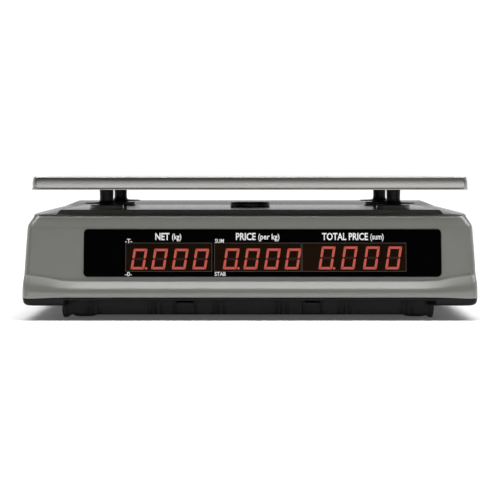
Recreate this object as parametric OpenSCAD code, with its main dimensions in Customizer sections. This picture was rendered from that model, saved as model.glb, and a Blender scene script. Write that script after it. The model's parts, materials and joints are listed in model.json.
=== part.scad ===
// Counter-top price-computing retail scale.
// +Z up. The customer's display looks towards -Y, the operator's console towards +Y.
// The origin is the centre of the footprint, at the level of the counter.

/* [Casing] */
// Width of the casing across its lower edge
case_w = 338; // [332:1:342]
// Depth of the casing from the customer's lip to the operator's nose
case_d = 360; // [358:1:366]
// Height of the seam between the upper casing and the base
seam_z = 18; // [17:0.5:19]
// Height of the shoulder round the weighing deck
shoulder_z = 78; // [77:0.5:80]
// Thickness of the plastic walls
wall = 2.5; // [2:0.1:3]

/* [Customer face] */
// Lean of the customer's face away from upright, in degrees
face_lean = 9; // [6:1:11]
// Width of the display window
window_w = 265.8; // [255:1:270]
// Height of the customer's window, along the face
window_h = 35.6; // [34:0.1:36]
// Sideways shift of the customer's window
window_shift = 9.3; // [0:0.1:12]

/* [Console] */
// Slope of the operator's console, in degrees
console_slope = 28; // [27:0.5:29]
// Key columns are this far apart
key_pitch_x = 23; // [22:0.5:24]
// Key rows are this far apart, along the slope
key_pitch_y = 15.5; // [15:0.5:16]
// Travel of a key
key_travel = 1.5; // [1:0.1:1.6]

/* [Weighing platform] */
// Width of the platter
platter_w = 327; // [300:1:330]
// Depth of the platter
platter_d = 240; // [228:1:244]
// Height of the platter's top over the counter
platter_top = 106.3; // [105:0.1:108]
// Height of the platter's skirt
skirt_h = 10; // [8:0.5:12]
// Distance between the left and right posts
post_gap_x = 225; // [215:1:230]
// Distance between the near and far posts
post_gap_y = 130; // [126:1:134]
// Travel of the platform down to the overload stops
platform_travel = 0.5; // [0.3:0.1:0.5]

/* [Base] */
// Width of the tub below the flange
tub_w = 279; // [272:1:284]
// Depth of the tub below the flange
tub_d = 320; // [314:1:324]
// Travel of a levelling foot
foot_travel = 6; // [3:1:8]

/* [Hidden] */
$fn = 48;

lip_y = case_d / 2;
deck_y = -40;
platter_y = deck_y - 3;
plateau_z = shoulder_z + 3.2;
hump_z = shoulder_z + 6.2;
hump_foot_y = 23;
hump_foot_z = shoulder_z + 2;
hump_len = 43;
corner_r = 6;
near_shelf_z = 14.5;
near_shelf_w = 274;
plateau_far = 44;
crease_z = seam_z + 12.5;
crease_y = -lip_y + 6.5;
face_top_z = 69.5;
face_top_y = crease_y + (face_top_z - crease_z) * tan(face_lean);
shoulder_y = face_top_y + 5;
side_lean = 3.1;

console_y = 86;
console_z = hump_z;
console_len = 97.5;
nose_y = console_y + console_len * cos(console_slope);
nose_z = console_z - console_len * sin(console_slope);

window_t = 2;
window_mid = 19.3;
operator_window_h = 34;
operator_window_mid = 22;
module_h = 21.7;
module_mid = 16.1;
module_front = -2.4;
module_back = -10.7;
board_t = 1.6;
// Left edge and width of each display module
MODULES = [[-92.6, 64.5], [-26.6, 64.8], [38.6, 77.6]];

post_r = 5.2;
post_hole_r = 8;
collar_r = 13.25;
collar_z = shoulder_z + 5.9;
flange_r = 16.9;
flange_z = collar_z + 0.7;
flange_t = 1.2;
POSTS = [for (sx = [-1, 1], sy = [-1, 1])
    [sx * post_gap_x / 2, deck_y + sy * post_gap_y / 2]];

spider_z = 60;
spider_t = 3;
arm_w = 26;
spine_w = 60;
cell_z = 33;
cell_h = 22;
cell_w = 30;
cell_len = 130;
cell_near_y = deck_y - cell_len / 2;
cell_far_y = deck_y + cell_len / 2;
pedestal_z = 15;
bolt_r = 2.95;
bolt_hole_r = 3.05;
BASE_BOLTS_Y = [cell_near_y + 8, cell_near_y + 22];
TOP_BOLTS_Y = [cell_far_y - 22, cell_far_y - 8];

plate_t = 1;
pad_r = 8;
floor_z = 2.5;
flange_floor = 10.5;
battery_at = [-90, deck_y];
battery_size = [69, 99, 47];
foot_x = 126;
foot_y = 140;
FEET = [[-1, -1], [1, -1], [-1, 1], [1, 1]];
SCREWS = [for (sx = [-1, 1], y = [-120, 0, 120]) [sx * 152, y]];
STOPS = [for (sx = [-1, 1], sy = [-1, 1]) [sx * 90, deck_y + sy * post_gap_y / 2]];
STANDOFFS = [for (x = [-64, 74], y = [68, 144]) [x, y]];
pillar_pitch = 47.1;

key_w = 19;
key_h = 11.5;
key_gap = 0.3;
key_rise = 2.2;
keypad_x = -20;
key_row_1 = 52;
// Name, column from the operator's left, row from the display, width in columns
KEYS = [
    ["key_7", 0, 0, 1], ["key_8", 1, 0, 1], ["key_9", 2, 0, 1], ["key_m1", 3, 0, 1],
    ["key_m2", 4, 0, 1], ["key_m3", 5, 0, 1], ["key_clear", 6, 0, 1],
    ["key_4", 0, 1, 1], ["key_5", 1, 1, 1], ["key_6", 2, 1, 1], ["key_m4", 3, 1, 1],
    ["key_m5", 4, 1, 1], ["key_m6", 5, 1, 1], ["key_zero", 6, 1, 1],
    ["key_1", 0, 2, 1], ["key_2", 1, 2, 1], ["key_3", 2, 2, 1], ["key_0", 3, 2, 1],
    ["key_point", 4, 2, 1], ["key_tare", 5, 2, 2],
];
level_at = [118, 67.5];
switch_at = [88, 52];
inlet_at = [52, 45];

// ---------------------------------------------------------------- helpers

module slab(w, d, h, r) {
    linear_extrude(height = h) rounded(w, d, r);
}

module rounded(w, d, r) {
    square([w - 2 * r, d], center = true);
    square([w, d - 2 * r], center = true);
    for (sx = [-1, 1], sy = [-1, 1])
        translate([sx * (w / 2 - r), sy * (d / 2 - r)]) circle(r);
}

module across_x(w) {
    rotate([90, 0, 90]) linear_extrude(height = w, center = true) children();
}

module across_y(d) {
    rotate([90, 0, 0]) linear_extrude(height = d, center = true) children();
}

// Places things on the customer's face: x, up the face, out of the face.
module on_face(t = 0) {
    translate([0, crease_y, crease_z]) rotate([90 - face_lean, 0, 0])
        translate([0, t, 0]) children();
}

// Places things on the console: x, down the slope, out of the slope.
module on_console(x = 0, v = 0) {
    translate([0, console_y, console_z]) rotate([-console_slope, 0, 0])
        translate([x, v, 0]) children();
}

// Places things on the right-hand wall: down, along y, out of the wall.
module on_right_wall(at) {
    translate([case_w / 2 - (at[1] - seam_z - 4) * tan(side_lean), at[0], at[1]])
        rotate([0, 90 - side_lean, 0]) children();
}

function key_x(k) = keypad_x + (3 - k[1] - (k[3] - 1) / 2) * key_pitch_x;
function key_v(k) = key_row_1 + k[2] * key_pitch_y;
function key_width(k) = key_w + (k[3] - 1) * key_pitch_x;

// ---------------------------------------------------------------- casing

// Outline seen from the side, moved inwards by k.
function side_outline(k) = [
    [-lip_y + 1.6 + k, seam_z + 0.2 - k],
    [-lip_y + k, seam_z + 2.4],
    [-lip_y + k, crease_z - 6.5],
    [-lip_y + 2.5 + k, crease_z - 2.3 - 0.3 * k],
    [crease_y + k, crease_z],
    [face_top_y + k, face_top_z - 0.1 * k],
    [face_top_y + 1.3 + k, face_top_z + 3.2 - 0.3 * k],
    [face_top_y + 3.7 + 0.8 * k, face_top_z + 7.5 - 0.6 * k],
    [shoulder_y + 0.4 * k, shoulder_z - k],
    for (i = [0:4]) [hump_foot_y + hump_len * i / 4 + 0.1 * k,
        hump_foot_z + (hump_z - hump_foot_z) * (3 - i / 2) * i * i / 16 - k],
    [console_y - 3 - 0.2 * k, hump_z - k],
    [console_y + 2 * cos(console_slope) - 0.5 * k, hump_z - 2 * sin(console_slope) - 0.9 * k],
    [nose_y - 0.5 * k, nose_z - 0.9 * k],
    [lip_y - 3 - 0.8 * k, nose_z - 3.4 - 0.6 * k],
    [lip_y - 0.8 - k, nose_z - 7 - 0.2 * k],
    [lip_y - k, nose_z - 11],
    [lip_y - k, seam_z + 2.4],
    [lip_y - 1.6 - k, seam_z + 0.2 - k],
];

// Right-hand half of the outline seen from the customer's side, moved inwards by k.
function half_outline(k) = [
    [case_w / 2 - 1.2 - k, seam_z + 0.2 - k],
    [case_w / 2 - k, seam_z + 2.4],
    [case_w / 2 - k, seam_z + 4],
    [case_w / 2 - 2.6 - k, face_top_z - 0.1 * k],
    [case_w / 2 - 3.8 - 0.9 * k, face_top_z + 3.9 - 0.4 * k],
    [case_w / 2 - 5.4 - 0.7 * k, face_top_z + 7.1 - 0.7 * k],
    [case_w / 2 - 7.2 - 0.7 * k, shoulder_z + 0.4 - 0.8 * k],
    [case_w / 2 - 10.5 - 0.6 * k, hump_z - 1.4 - 0.9 * k],
    [case_w / 2 - 13.5 - 0.5 * k, hump_z - k],
];

function front_outline(k) = concat(half_outline(k),
    [for (i = [len(half_outline(k)) - 1:-1:0]) [-half_outline(k)[i][0], half_outline(k)[i][1]]]);

module casing_solid(k) {
    intersection() {
        across_x(case_w) polygon(side_outline(k));
        across_y(case_d) polygon(front_outline(k));
        translate([0, 0, seam_z - 5]) slab(case_w - 2 * k, case_d - 2 * k, 80, corner_r - k);
    }
}

// The raised deck that the platter hangs over.
module plateau(k) {
    low = shoulder_z - 1 - k;
    top = plateau_z - k;
    intersection() {
        across_x(case_w) polygon([[-154.2 + k, low], [plateau_far, low],
            [plateau_far, top], [-149 + k, top], [-153 + k, shoulder_z - k]]);
        across_y(case_d) polygon([[-147.2 + k, low], [147.2 - k, low], [146 - k, shoulder_z - k],
            [142 - k, top], [-142 + k, top], [-146 + k, shoulder_z - k]]);
    }
}

module casing_bosses() {
    intersection() {
        casing_solid(wall / 2);
        for (p = SCREWS) translate([p[0], p[1], flange_floor + wall + 0.1]) cylinder(r = 4.5, h = 80);
    }
    for (x = [-132, 132], t = [6, 30])
        on_face(t) translate([window_shift + x, 0, module_back])
            cylinder(r = 3, h = -module_back - wall / 2);
    for (x = [-137, 137], v = [10, 34])
        on_console(x, v) translate([0, 0, module_back]) cylinder(r = 3, h = -module_back - wall / 2);
    for (x = [-105, 65], v = [48, 87])
        on_console(x, v) translate([0, 0, -9]) cylinder(r = 2.5, h = 9 - wall / 2);
}

module upper_housing() {
    color([0.45, 0.45, 0.43]) difference() {
        union() {
            difference() {
                union() {
                    casing_solid(0);
                    plateau(0);
                    for (p = POSTS) translate([p[0], p[1], shoulder_z]) cylinder(r = collar_r, h = collar_z - shoulder_z);
                }
                casing_solid(wall);
                plateau(wall);
            }
            casing_bosses();
        }
        for (p = POSTS) translate([p[0], p[1], shoulder_z - 5]) cylinder(r = post_hole_r, h = 20);
        translate([0, deck_y, shoulder_z - 5]) cylinder(r = 10, h = 20);
        for (p = SCREWS) translate([p[0], p[1], 10]) cylinder(r = 1.6, h = 22);
        on_face(window_mid) translate([window_shift, 0, -window_t])
            slab(window_w + 0.2, window_h + 0.2, 10, 3.1);
        on_face(window_mid) translate([window_shift, 0, -2 * wall]) slab(256, 29, 10, 2);
        on_console(0, operator_window_mid) translate([0, 0, -window_t])
            slab(window_w + 0.2, operator_window_h + 0.2, 10, 3.1);
        on_console(0, operator_window_mid) translate([0, 0, -2 * wall]) slab(256, 28, 10, 2);
        for (k = KEYS) on_console(key_x(k), key_v(k)) translate([0, 0, -5])
            slab(key_width(k) + 2 * key_gap, key_h + 2 * key_gap, 10, 1.6);
        on_console(level_at[0], level_at[1]) translate([0, 0, -5]) cylinder(r = 9, h = 10);
        on_right_wall(switch_at) translate([0, 0, -6]) slab(19.4, 13.4, 12, 1);
        on_right_wall(inlet_at) translate([0, 0, -6]) slab(11, 19.4, 12, 1);
    }
}

// ---------------------------------------------------------------- base

function flange_side(half, k) = [
    [half - 6 - k, flange_floor + k], [half - 2.6 - k, flange_floor + 1 + k],
    [half - 0.8 - k, flange_floor + 3.4 + 0.4 * k], [half - 0.4 - k, seam_z + 0.1 * k]];

function flange_outline(half, k) = concat(flange_side(half, k),
    [for (i = [3:-1:0]) [-flange_side(half, k)[i][0], flange_side(half, k)[i][1]]]);

module flange_solid(k) {
    intersection() {
        across_x(case_w) polygon(flange_outline(case_d / 2, k));
        across_y(case_d) polygon(flange_outline(case_w / 2, k));
        translate([0, 0, flange_floor - 1]) slab(case_w - 2 * k, case_d - 2 * k, 20, corner_r - k);
    }
}

module tub_ribs() {
    for (sy = [-1, 1], i = [-2.5:1:2.5])
        translate([i * pillar_pitch - 4.3, sy > 0 ? tub_d / 2 - 1 : -tub_d / 2 - 2, floor_z])
            cube([8.6, 3, (sy > 0 ? flange_floor + 1 : near_shelf_z + 0.2) - floor_z]);
    for (sx = [-1, 1], i = [-2.5:1:2.5])
        translate([sx > 0 ? tub_w / 2 - 1 : -tub_w / 2 - 2, i * pillar_pitch - 4.3, floor_z])
            cube([3, 8.6, flange_floor + 1 - floor_z]);
    for (sx = [-1, 1], sy = [-1, 1])
        translate([sx * (tub_w / 2 - 2), sy * (tub_d / 2 - 6), 0]) across_y(8)
            polygon([[-3, 0.5], [1, 0.5], [3, floor_z + 1], [-5, floor_z + 1]]);
}

module lower_base() {
    cx = battery_at[0];
    cy = battery_at[1];
    color([0.07, 0.07, 0.07]) difference() {
        union() {
            difference() {
                union() {
                    difference() {
                        flange_solid(0);
                        translate([-near_shelf_w / 2, -lip_y - 1, flange_floor - 1])
                            cube([near_shelf_w, lip_y - tub_d / 2 + 1.5, near_shelf_z - flange_floor + 1]);
                    }
                    translate([0, 0, floor_z]) slab(tub_w, tub_d, 10, 8);
                    translate([0, 0, seam_z - 1])
                        slab(case_w - 2 * wall - 2.4, case_d - 2 * wall - 2.4, 3.4, 2.3);
                    tub_ribs();
                }
                translate([0, 0, floor_z + wall]) slab(tub_w - 2 * wall, tub_d - 2 * wall, 30, 6);
                translate([0, 0, flange_floor + wall])
                    slab(case_w - 2 * wall - 7, case_d - 2 * wall - 7, 30, 1.5);
            }
            translate([-near_shelf_w / 2, -lip_y + 3, near_shelf_z])
                cube([near_shelf_w, lip_y - tub_d / 2 - 0.5, wall]);
            translate([-near_shelf_w / 2, -tub_d / 2, floor_z + 8])
                cube([near_shelf_w, wall, near_shelf_z - floor_z - 7]);
            for (s = FEET) translate([s[0] * foot_x, s[1] * foot_y, floor_z]) cylinder(r = 11.5, h = 17);
            for (p = STOPS) translate([p[0], p[1], floor_z]) cylinder(r = 5, h = 45);
            for (p = STANDOFFS) translate([p[0], p[1], floor_z]) cylinder(r = 3.5, h = 11.5);
            translate([-20, cell_near_y - 3, floor_z]) cube([40, 36, pedestal_z - floor_z]);
            translate([cx, cy, floor_z + 1]) slab(77, 107, 20, 2);
            for (x = [-49, 47]) translate([x - 11, -tub_d / 2 + 1, floor_z]) cube([22, 10, 12]);
        }
        for (s = FEET) translate([s[0] * foot_x, s[1] * foot_y, 0]) {
            cylinder(r = 9.6, h = 6.3);
            cylinder(r = bolt_hole_r, h = 30);
        }
        for (p = STOPS) translate([p[0], p[1], 10]) cylinder(r = 2.55, h = 50);
        for (p = SCREWS) translate([p[0], p[1], 5]) cylinder(r = 2.2, h = 20);
        for (y = BASE_BOLTS_Y) translate([0, y, 0]) {
            cylinder(r = 6, h = 8);
            cylinder(r = bolt_hole_r, h = 30);
        }
        translate([cx, cy, 0]) slab(71, 101, 30, 1.5);
        translate([cx, cy, floor_z - 1]) slab(77.2, 107.2, 2.4, 3);
        for (x = [-49, 47]) translate([x, -tub_d / 2, 0]) across_y(18)
            polygon([[-5.5, floor_z + 1.2], [5.5, floor_z + 1.2], [7.2, 9.6], [-7.2, 9.6]]);
    }
}

module battery_cover() {
    color([0.09, 0.09, 0.09]) translate([battery_at[0], battery_at[1], 0]) {
        translate([0, 0, floor_z + 0.1]) slab(76.4, 106.4, 1.2, 2.6);
        translate([0, 0, floor_z + 1.2]) slab(70.4, 100.4, 1.2, 1.2);
    }
}

module foot(s) {
    color([0.06, 0.06, 0.06]) translate([s[0] * foot_x, s[1] * foot_y, 0]) {
        cylinder(r1 = 8.4, r2 = 9, h = 1);
        translate([0, 0, 1]) cylinder(r = 9, h = 4.8);
        translate([0, 0, 5]) cylinder(r = 3, h = foot_travel + 10);
    }
}

module housing_screws() {
    color([0.6, 0.6, 0.62]) for (p = SCREWS) translate([p[0], p[1], flange_floor - 2]) {
        difference() {
            cylinder(r = 3.6, h = 2);
            translate([-2.5, -0.5, -1]) cube([5, 1, 2]);
            translate([-0.5, -2.5, -1]) cube([1, 5, 2]);
        }
        cylinder(r = 1.5, h = 18);
    }
}

// ---------------------------------------------------------------- weighing platform

module platter() {
    color([0.75, 0.74, 0.72]) translate([0, platter_y, 0]) difference() {
        union() {
            translate([0, 0, platter_top - skirt_h]) slab(platter_w, platter_d, skirt_h - 1.5, 4.5);
            translate([0, 0, platter_top - 2]) slab(platter_w - 1.2, platter_d - 1.2, 1.5, 4);
            translate([0, 0, platter_top - 1]) slab(platter_w - 3.2, platter_d - 3.2, 1, 3.2);
        }
        translate([0, 0, platter_top - skirt_h - 1])
            slab(platter_w - 2 * plate_t, platter_d - 2 * plate_t, skirt_h - 1.5, 3.5);
        translate([0, 0, platter_top - skirt_h])
            slab(platter_w - 4.4, platter_d - 4.4, skirt_h - plate_t, 2.6);
    }
}

module platter_stiffeners() {
    under = platter_top - plate_t;
    color([0.6, 0.6, 0.6]) {
        for (y = [-72, -8]) translate([0, y, under]) difference() {
            translate([-140, -15, -6]) cube([280, 30, 6]);
            translate([-141, -9, -5]) cube([282, 18, 6]);
            for (s = [-1, 1]) translate([-141, s * 13 - 3, -7]) cube([282, 6, 6]);
        }
        for (p = POSTS) translate([p[0], p[1], under - 3]) difference() {
            cylinder(r = 10.6, h = 3);
            translate([0, 0, -1]) cylinder(r = 8.6, h = 5);
        }
    }
}

module platform_spider() {
    near = deck_y - post_gap_y / 2;
    far = deck_y + post_gap_y / 2;
    span = post_gap_x + 27;
    color([0.35, 0.36, 0.38]) difference() {
        union() {
            for (y = [near, far]) {
                translate([-span / 2, y - arm_w / 2, spider_z]) cube([span, arm_w, spider_t]);
                for (sx = [-1, 1], sy = [-1, 1])
                    translate([sx > 0 ? 34 : -span / 2, y + sy * (arm_w / 2 - 1) - 1, spider_z - 8])
                        cube([span / 2 - 34, 2, 9]);
            }
            translate([-spine_w / 2, near - arm_w / 2, spider_z])
                cube([spine_w, post_gap_y + arm_w, spider_t]);
            for (sx = [-1, 1]) translate([sx * (spine_w / 2 - 1) - 1, near + arm_w / 2, spider_z - 4])
                cube([2, post_gap_y - arm_w, 5]);
        }
        for (p = POSTS) translate([p[0], p[1], spider_z - 1]) cylinder(r = 2.6, h = 10);
        for (y = TOP_BOLTS_Y) translate([0, y, spider_z - 1]) cylinder(r = bolt_hole_r, h = 10);
        translate([0, deck_y - 32, spider_z - 1]) cylinder(r = 12, h = 10);
    }
}

module post(p) {
    color([0.05, 0.05, 0.05]) translate([p[0], p[1], 0]) difference() {
        union() {
            translate([0, 0, spider_z + spider_t]) cylinder(r = 9, h = 4);
            translate([0, 0, spider_z + spider_t + 4]) cylinder(r = 5.6, h = 18);
            translate([0, 0, flange_z]) cylinder(r = flange_r, h = flange_t);
            translate([0, 0, flange_z + flange_t]) cylinder(r1 = 8.4, r2 = post_r, h = 3);
            translate([0, 0, flange_z + flange_t]) cylinder(r = post_r, h = 99 - flange_z - flange_t);
            translate([0, 0, 98]) cylinder(r = 3.5, h = 5);
        }
        translate([0, 0, spider_z]) cylinder(r = 2.1, h = 18);
    }
}

module post_screws() {
    color([0.6, 0.6, 0.62]) for (p = POSTS) translate([p[0], p[1], spider_z - 4]) {
        cylinder(r = 4.5, h = 4);
        cylinder(r = 2, h = 18);
    }
}

module platter_pads() {
    color([0.1, 0.1, 0.1]) for (p = POSTS) translate([p[0], p[1], 99.1]) difference() {
        cylinder(r = pad_r, h = platter_top - plate_t - 0.1 - 99.1);
        translate([0, 0, -1]) cylinder(r = 3.6, h = 5.2);
    }
}

module load_cell() {
    color([0.72, 0.73, 0.75]) difference() {
        translate([-cell_w / 2, cell_near_y, cell_z]) cube([cell_w, cell_len, cell_h]);
        for (y = [-14, 14]) translate([0, deck_y + y, cell_z + cell_h / 2]) rotate([0, 90, 0])
            cylinder(r = 8, h = cell_w + 2, center = true);
        translate([0, deck_y, cell_z + cell_h / 2]) cube([cell_w + 2, 28, 6], center = true);
        for (y = concat(BASE_BOLTS_Y, TOP_BOLTS_Y)) translate([0, y, cell_z - 1])
            cylinder(r = bolt_hole_r, h = cell_h + 2);
    }
}

module cell_base_spacer() {
    color([0.4, 0.4, 0.42]) difference() {
        translate([-cell_w / 2, cell_near_y, pedestal_z]) cube([cell_w, 30, cell_z - pedestal_z]);
        for (y = BASE_BOLTS_Y) translate([0, y, pedestal_z - 1]) cylinder(r = bolt_hole_r, h = 30);
    }
}

module cell_top_spacer() {
    color([0.4, 0.4, 0.42]) difference() {
        translate([-cell_w / 2, cell_far_y - 30, cell_z + cell_h])
            cube([cell_w, 30, spider_z - cell_z - cell_h]);
        for (y = TOP_BOLTS_Y) translate([0, y, cell_z]) cylinder(r = bolt_hole_r, h = 40);
    }
}

module cap_bolt(length) {
    difference() {
        cylinder(r = 5, h = 5);
        translate([0, 0, -1]) cylinder(r = 2.9, h = 3.5, $fn = 6);
    }
    translate([0, 0, 4.9]) cylinder(r = bolt_r, h = length);
}

module cell_base_bolts() {
    color([0.25, 0.25, 0.27]) for (y = BASE_BOLTS_Y) translate([0, y, 3]) cap_bolt(44);
}

module cell_top_bolts() {
    color([0.25, 0.25, 0.27]) for (y = TOP_BOLTS_Y)
        translate([0, y, spider_z + spider_t + 5]) mirror([0, 0, 1]) cap_bolt(20);
}

module overload_stops() {
    color([0.6, 0.6, 0.62]) for (p = STOPS) translate([p[0], p[1], 20]) {
        cylinder(r = 2.5, h = 38);
        translate([0, 0, 28]) cylinder(r = 4.4, h = 3, $fn = 6);
        translate([0, 0, 37]) cylinder(r = 4, h = spider_z - platform_travel - 0.1 - 57);
    }
}

module centre_plug() {
    color([0.05, 0.05, 0.05]) translate([0, deck_y, 0]) {
        translate([0, 0, plateau_z]) cylinder(r = 16.35, h = 2.6);
        translate([0, 0, plateau_z + 2.6]) cylinder(r1 = 16.35, r2 = 15.2, h = 1.05);
        translate([0, 0, plateau_z - 6]) cylinder(r = 9.9, h = 7);
    }
}

// ---------------------------------------------------------------- displays

module customer_window() {
    color([0.02, 0.02, 0.02]) on_face(window_mid) translate([window_shift, 0, -window_t])
        slab(window_w, window_h, window_t, 3);
}

module operator_window() {
    color([0.02, 0.02, 0.02]) on_console(0, operator_window_mid) translate([0, 0, -window_t])
        slab(window_w, operator_window_h, window_t, 3);
}

module digit_modules(dir) {
    for (m = MODULES)
        translate([dir > 0 ? m[0] : -m[0] - m[1], -module_h / 2, module_back])
            cube([m[1], module_h, module_front - module_back]);
}

module customer_digits() {
    color([0.25, 0.08, 0.06]) on_face(module_mid) digit_modules(1);
}

module operator_digits() {
    color([0.25, 0.08, 0.06]) on_console(window_shift, operator_window_mid) digit_modules(-1);
}

module customer_board() {
    color([0.05, 0.3, 0.12]) on_face(18) translate([window_shift, 0, module_back - board_t])
        slab(273, 34, board_t, 2);
}

module operator_board() {
    color([0.05, 0.3, 0.12]) on_console(0, 22) translate([0, 0, module_back - board_t])
        slab(282, 32, board_t, 2);
}

// ---------------------------------------------------------------- console

module key(k) {
    w = key_width(k);
    color([0.82, 0.82, 0.8]) on_console(key_x(k), key_v(k)) {
        translate([0, 0, -wall - 0.6]) slab(w, key_h, wall + 0.6 + key_rise - 0.5, 1.3);
        translate([0, 0, key_rise - 0.6]) slab(w - 1, key_h - 1, 0.6, 1);
        translate([0, 0, -wall - 1.4]) slab(w + 2, key_h + 2, 1.2, 1);
    }
}

module dome_mat() {
    color([0.55, 0.56, 0.58]) {
        on_console(keypad_x, key_row_1 + key_pitch_y) translate([0, 0, -9]) slab(160, 46, 1.2, 2);
        for (k = KEYS) on_console(key_x(k), key_v(k)) translate([0, 0, -8])
            cylinder(r1 = 4.6, r2 = 3.4, h = 8 - wall - 1.4 - key_travel - 0.4);
    }
}

module keypad_board() {
    color([0.05, 0.3, 0.12]) on_console(keypad_x, key_row_1 + key_pitch_y)
        translate([0, 0, -9 - board_t]) slab(178, 47, board_t, 2);
}

module level_body() {
    color([0.08, 0.08, 0.08]) on_console(level_at[0], level_at[1]) difference() {
        union() {
            cylinder(r = 12, h = 1.4);
            translate([0, 0, -9]) cylinder(r = 8.8, h = 9.5);
        }
        translate([0, 0, -7.5]) cylinder(r = 7.4, h = 12);
    }
}

module level_vial() {
    color([0.75, 0.85, 0.4, 0.6]) on_console(level_at[0], level_at[1])
        translate([0, 0, -7.5]) cylinder(r = 7.3, h = 8.3);
}

// ---------------------------------------------------------------- power

switch_tilt = 7;
rocker_pivot = -2.2;

module switch_body() {
    color([0.05, 0.05, 0.05]) on_right_wall(switch_at) difference() {
        union() {
            slab(23, 17, 1, 1.5);
            translate([0, 0, -17]) slab(19, 13, 17.5, 0.8);
        }
        translate([0, 0, -8]) slab(15, 10, 12, 0.6);
        translate([0, 0, rocker_pivot]) rotate([90, 0, 0]) cylinder(r = 1.06, h = 11.6, center = true);
    }
}

module switch_rocker() {
    color([0.35, 0.03, 0.03]) on_right_wall(switch_at) translate([0, 0, rocker_pivot])
        rotate([0, switch_tilt, 0]) {
            across_y(9.4) polygon([[-6.8, -1.8], [0, -3.6], [6.8, -1.8], [6.6, 2.6],
                [3.4, 2], [0, 1.8], [-3.4, 2], [-6.6, 2.6]]);
            rotate([90, 0, 0]) cylinder(r = 1, h = 11.2, center = true);
        }
}

module mains_inlet() {
    color([0.05, 0.05, 0.05]) on_right_wall(inlet_at) {
        difference() {
            union() {
                slab(15, 24, 1, 2);
                translate([0, 0, -18]) slab(10.6, 19, 18.5, 1);
            }
            translate([0, 0, -14]) slab(8.2, 15.4, 20, 4);
        }
        for (s = [-1, 1]) translate([0, s * 4.3, -15]) cylinder(r = 1.2, h = 12.5);
    }
}

// ---------------------------------------------------------------- inside

module main_board() {
    color([0.05, 0.3, 0.12]) {
        translate([5, 106, floor_z + 11.5]) slab(150, 88, board_t, 2);
        translate([-30, 90, floor_z + 12]) cube([24, 24, 3.4]);
        translate([20, 84, floor_z + 12]) cube([14, 20, 3]);
        translate([-60, 128, floor_z + 12]) cube([50, 10, 9]);
        translate([10, 130, floor_z + 12]) cube([40, 8, 8]);
        translate([62, 96, floor_z + 12]) cylinder(r = 6, h = 15);
    }
}

module transformer() {
    color([0.3, 0.3, 0.32]) {
        translate([58, -62, floor_z + wall]) cube([48, 40, 38]);
        translate([65, -70, floor_z + wall + 8]) cube([34, 56, 22]);
        for (y = [-76, -24]) translate([74, y, floor_z + wall]) cube([16, 16, 2]);
    }
}

module battery() {
    color([0.2, 0.22, 0.25]) translate([battery_at[0], battery_at[1], floor_z + wall + 0.2]) {
        slab(battery_size[0], battery_size[1], battery_size[2], 2);
        for (x = [-20, 20]) translate([x, 44, 40]) cube([6, 8, 4]);
    }
}

// ---------------------------------------------------------------- the model

upper_housing();
lower_base();
platter();
platter_stiffeners();
platform_spider();
post(POSTS[0]);  // post_near_left
post(POSTS[1]);  // post_far_left
post(POSTS[2]);  // post_near_right
post(POSTS[3]);  // post_far_right
post_screws();
platter_pads();
load_cell();
cell_base_spacer();
cell_top_spacer();
cell_base_bolts();
cell_top_bolts();
overload_stops();
centre_plug();
customer_window();
customer_board();
customer_digits();
operator_window();
operator_board();
operator_digits();
main_board();
transformer();
battery();
battery_cover();
mains_inlet();
switch_body();
switch_rocker();
level_body();
level_vial();
dome_mat();
keypad_board();
foot(FEET[0]);  // foot_near_left
foot(FEET[1]);  // foot_near_right
foot(FEET[2]);  // foot_far_left
foot(FEET[3]);  // foot_far_right
housing_screws();
for (k = KEYS) key(k);
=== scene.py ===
"""The looks of a counter-top price-computing scale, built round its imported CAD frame.

Lengths here are millimetres in the frame's axes, or in a frame that lies on one flat face of a
CAD part: x to the viewer's right, y up the face and z out of it. A mesh is scaled to metres as it
is made. The photographed side, with the customer's display, looks towards -Y.
"""

import json
from math import atan2, cos, pi, radians, sin, tan

import bmesh
import bpy
from mathutils import Matrix, Vector


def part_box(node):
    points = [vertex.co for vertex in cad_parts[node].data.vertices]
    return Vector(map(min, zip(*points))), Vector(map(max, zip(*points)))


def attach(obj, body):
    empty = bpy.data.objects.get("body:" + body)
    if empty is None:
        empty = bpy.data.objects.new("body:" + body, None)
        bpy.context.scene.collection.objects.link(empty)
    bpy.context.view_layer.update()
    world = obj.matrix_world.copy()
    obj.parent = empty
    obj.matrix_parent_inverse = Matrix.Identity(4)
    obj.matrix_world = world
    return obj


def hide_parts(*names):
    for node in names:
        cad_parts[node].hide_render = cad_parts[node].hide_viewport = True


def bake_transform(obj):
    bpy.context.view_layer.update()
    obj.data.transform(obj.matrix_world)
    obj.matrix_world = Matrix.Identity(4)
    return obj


MM = 0.001
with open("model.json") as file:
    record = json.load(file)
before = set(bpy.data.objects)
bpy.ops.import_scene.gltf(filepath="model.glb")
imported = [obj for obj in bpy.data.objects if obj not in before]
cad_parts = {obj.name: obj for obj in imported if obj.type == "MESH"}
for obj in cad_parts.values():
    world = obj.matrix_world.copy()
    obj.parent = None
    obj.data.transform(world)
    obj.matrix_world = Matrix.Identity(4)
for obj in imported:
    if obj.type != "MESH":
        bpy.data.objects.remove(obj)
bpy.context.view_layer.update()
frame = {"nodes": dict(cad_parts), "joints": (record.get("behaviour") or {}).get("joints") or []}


# ---- places taken from the frame

def box(node):
    """A CAD node's lowest and highest corners, in millimetres."""
    low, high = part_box(node)
    return low / MM, high / MM


def width_of(node):
    low, high = box(node)
    return high.x - low.x


def middle(node):
    low, high = box(node)
    return (low + high) / 2


# Cosines between directions that are much the same, and the same.
ROUGHLY_ALIKE, ALIKE = 0.8, 0.99


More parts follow.
